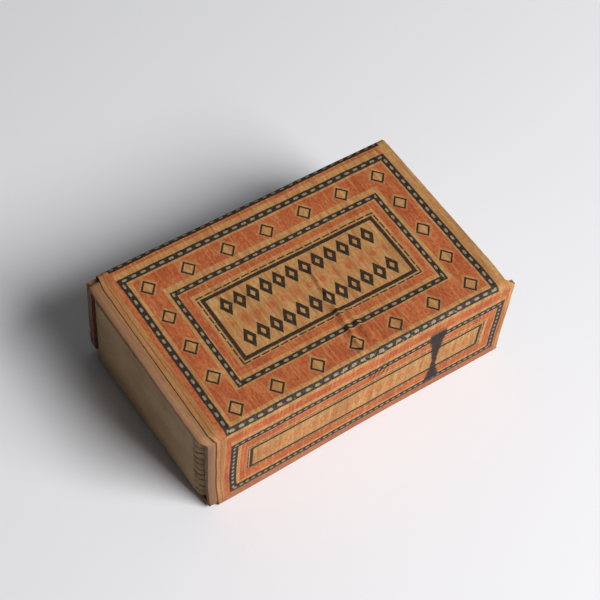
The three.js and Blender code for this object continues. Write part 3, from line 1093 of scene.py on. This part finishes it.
def wood_material(name, tones, grain_scale=3.2, run_scale=0.09, shaded_soiled=False):
    """Thin split wood, its fibres along the sheet's second coordinate."""
    paint = Paint(name, 0.8)
    pale, middle, dark = tones
    fibre = paint.noise(grain_scale, run_scale, 5.0, 0.0, 1.0, rough=0.62)
    stripe = paint.noise(grain_scale * 0.22, run_scale * 0.3, 2.0, 9.0, 0.3)
    pore = paint.noise(grain_scale * 3.2, run_scale * 5.0, 2.0, 4.0, 1.5)
    colour = paint.mix(fibre.above(0.5, 0.4), middle, pale)
    colour = paint.mix(stripe.above(0.55, 0.3) * 0.5, colour, dark)
    colour = paint.mix(pore.above(0.64, 0.12) * 0.6, colour, dark)
    if shaded_soiled:
        colour = shade_and_soil_veneer(paint, colour)
    paint.colour(colour)
    paint.rough(fibre * 0.15 + 0.72)
    paint.bump(fibre * 0.6 + pore * 0.4, 0.05)
    return paint.material


def binding_material():
    """Coarse grey-brown paper, stained, with little creases across its folded near corner, darkened by
    painted shade and by broken fibres.
    """
    paint = Paint("binding_paper", 0.9)
    fibre = paint.noise(5.0, 1.1, 4.0, 0.0)
    lint = paint.noise(9.0, 6.0, 3.0, 6.0)
    stain = paint.noise(0.25, 0.16, 3.0, 2.0)
    colour = paint.mix(fibre.above(0.5, 0.4), linear(149, 120, 86), linear(168, 140, 102))
    colour = paint.mix(stain.above(0.52, 0.25) * 0.55, colour, linear(130, 100, 70))
    colour = paint.mix(lint.above(0.64, 0.1) * 0.4, colour, linear(92, 76, 58))
    # Painted shade in the creases, with dark broken fibres, as dark lines across the near corner.
    uneven = paint.x * (1 / CREASE_LINE_PITCH) + paint.noise(0.4, 0.9, 2.0, 15.0) * 0.9
    creases = abs(uneven.fract() - 0.5).below(0.13, 0.12) * paint.w.above(0.45, 0.5)
    colour = paint.mix(creases * 0.65, colour, linear(58, 44, 34))
    paint.colour(colour)
    paint.bump(fibre * 0.7 + lint * 0.3 + creases * -0.6, 0.08)
    return paint.material


def striker_material():
    """Dark red-brown grit, a little paler where matches have rubbed it."""
    paint = Paint("striking_composition", 0.92)
    grit = paint.noise(9.0, 9.0, 4.0, 0.0, rough=0.7)
    rub = paint.noise(0.35, 2.6, 3.0, 7.0)
    colour = paint.mix(grit.above(0.5, 0.3), linear(62, 28, 22), linear(88, 44, 34))
    colour = paint.mix(rub.above(0.62, 0.12) * 0.45, colour, linear(124, 84, 64))
    paint.colour(colour)
    paint.bump(grit, 0.08)
    return paint.material


def head_material():
    """The dried composition of the match heads."""
    paint = Paint("match_composition", 0.7)
    grain = paint.noise(3.5, 3.5, 4.0, 0.0, 1.0)
    colour = paint.mix(grain.above(0.5, 0.3), linear(78, 34, 28), linear(104, 50, 40))
    colour = paint.mix(grain.above(0.66, 0.08) * 0.6, colour, linear(130, 84, 66))
    paint.colour(colour)
    paint.bump(grain, 0.1)
    return paint.material


# Stage

CAMERA_AT = Vector((-81.63, -100.93, 196.26))
CAMERA_TARGET = Vector((1.755, 2.025, 9.0))
CAMERA_ROLL = math.radians(6.47)
SENSOR = 36.0
LENS = 95.595
# Strength of the world's light, and of the world as the camera sees it.
WORLD_LIGHT = 0.058
SEEN_WORLD = 0.85
# Half the floor's side, and how far it lies under the box, in millimetres.
FLOOR_REACH = 400
FLOOR_DROP = 0.02


def make_camera():
    """The photo's viewpoint, found by fitting the print's frames and the box's edges."""
    forward = (CAMERA_TARGET - CAMERA_AT).normalized()
    level = forward.cross(Vector((0, 0, 1))).normalized()
    upright = level.cross(forward)
    right = level * math.cos(CAMERA_ROLL) + upright * math.sin(CAMERA_ROLL)
    up = right.cross(forward)
    data = bpy.data.cameras.new("camera")
    data.sensor_width = SENSOR
    data.lens = LENS
    data.clip_start = 0.01
    camera = bpy.data.objects.new("camera", data)
    turn = Matrix((right, up, -forward)).transposed().to_4x4()
    camera.matrix_world = Matrix.Translation(CAMERA_AT * MM) @ turn
    bpy.context.scene.collection.objects.link(camera)
    bpy.context.scene.camera = camera


def make_lamp(name, towards, distance, size, power):
    """A soft square lamp in a direction from the box, aimed at it. Distance and size are in metres."""
    data = bpy.data.lights.new(name, "AREA")
    data.size = size
    data.energy = power
    lamp = bpy.data.objects.new(name, data)
    direction = Vector(towards).normalized()
    lamp.location = direction * distance
    lamp.rotation_euler = direction.to_track_quat("Z", "Y").to_euler()
    bpy.context.scene.collection.objects.link(lamp)


def make_world():
    """Faint even light, which the camera itself sees as a pale wall beyond the floor."""
    world = bpy.data.worlds.new("studio")
    world.use_nodes = True
    tree = world.node_tree
    background = tree.nodes["Background"]
    background.inputs["Color"].default_value = (0.96, 0.98, 1.0, 1.0)
    seen = Wire(tree, tree.nodes.new("ShaderNodeLightPath").outputs["Is Camera Ray"])
    tree.links.new(seen.choose(SEEN_WORLD, WORLD_LIGHT).socket, background.inputs["Strength"])
    bpy.context.scene.world = world


def make_stage():
    """The pale floor, the world and two soft lamps."""
    corners = [(-1, -1), (1, -1), (1, 1), (-1, 1)]
    points = [(sx * FLOOR_REACH, sy * FLOOR_REACH, -FLOOR_DROP) for sx, sy in corners]
    floor = add_object("floor", points, [(0, 1, 2, 3)])
    paint = Paint("floor_paint", 0.6, coordinates=False)
    paint.surface.inputs["Base Color"].default_value = linear(240, 240, 243)
    paint.surface.inputs["Specular IOR Level"].default_value = 0.2
    floor.data.materials.append(paint.material)
    make_world()
    make_lamp("key", towards=(0.44, -0.88, 0.88), distance=0.6, size=0.34, power=4.7)
    make_lamp("fill", towards=(0.35, 0.25, 1.0), distance=0.8, size=0.7, power=0.35)


def main():
    make_camera()
    make_stage()
    tray_wood = wood_material("tray_veneer", TRAY_WOOD)
    splint_wood = wood_material("split_aspen", ASPEN, grain_scale=4.0, run_scale=0.12)
    make_label(label_material())
    make_veneer(wood_material("bare_veneer", BARE_VENEER, shaded_soiled=True))
    make_striker(striker_material())
    make_hoop(tray_wood)
    make_floor_board(tray_wood)
    make_binding(binding_material())
    composition = head_material()
    count = sum(name.endswith("_splint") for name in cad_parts)
    for number in range(1, count + 1):
        make_splint(number, splint_wood)
        make_head(number, composition)
    bpy.context.scene.view_settings.view_transform = "Standard"


main()
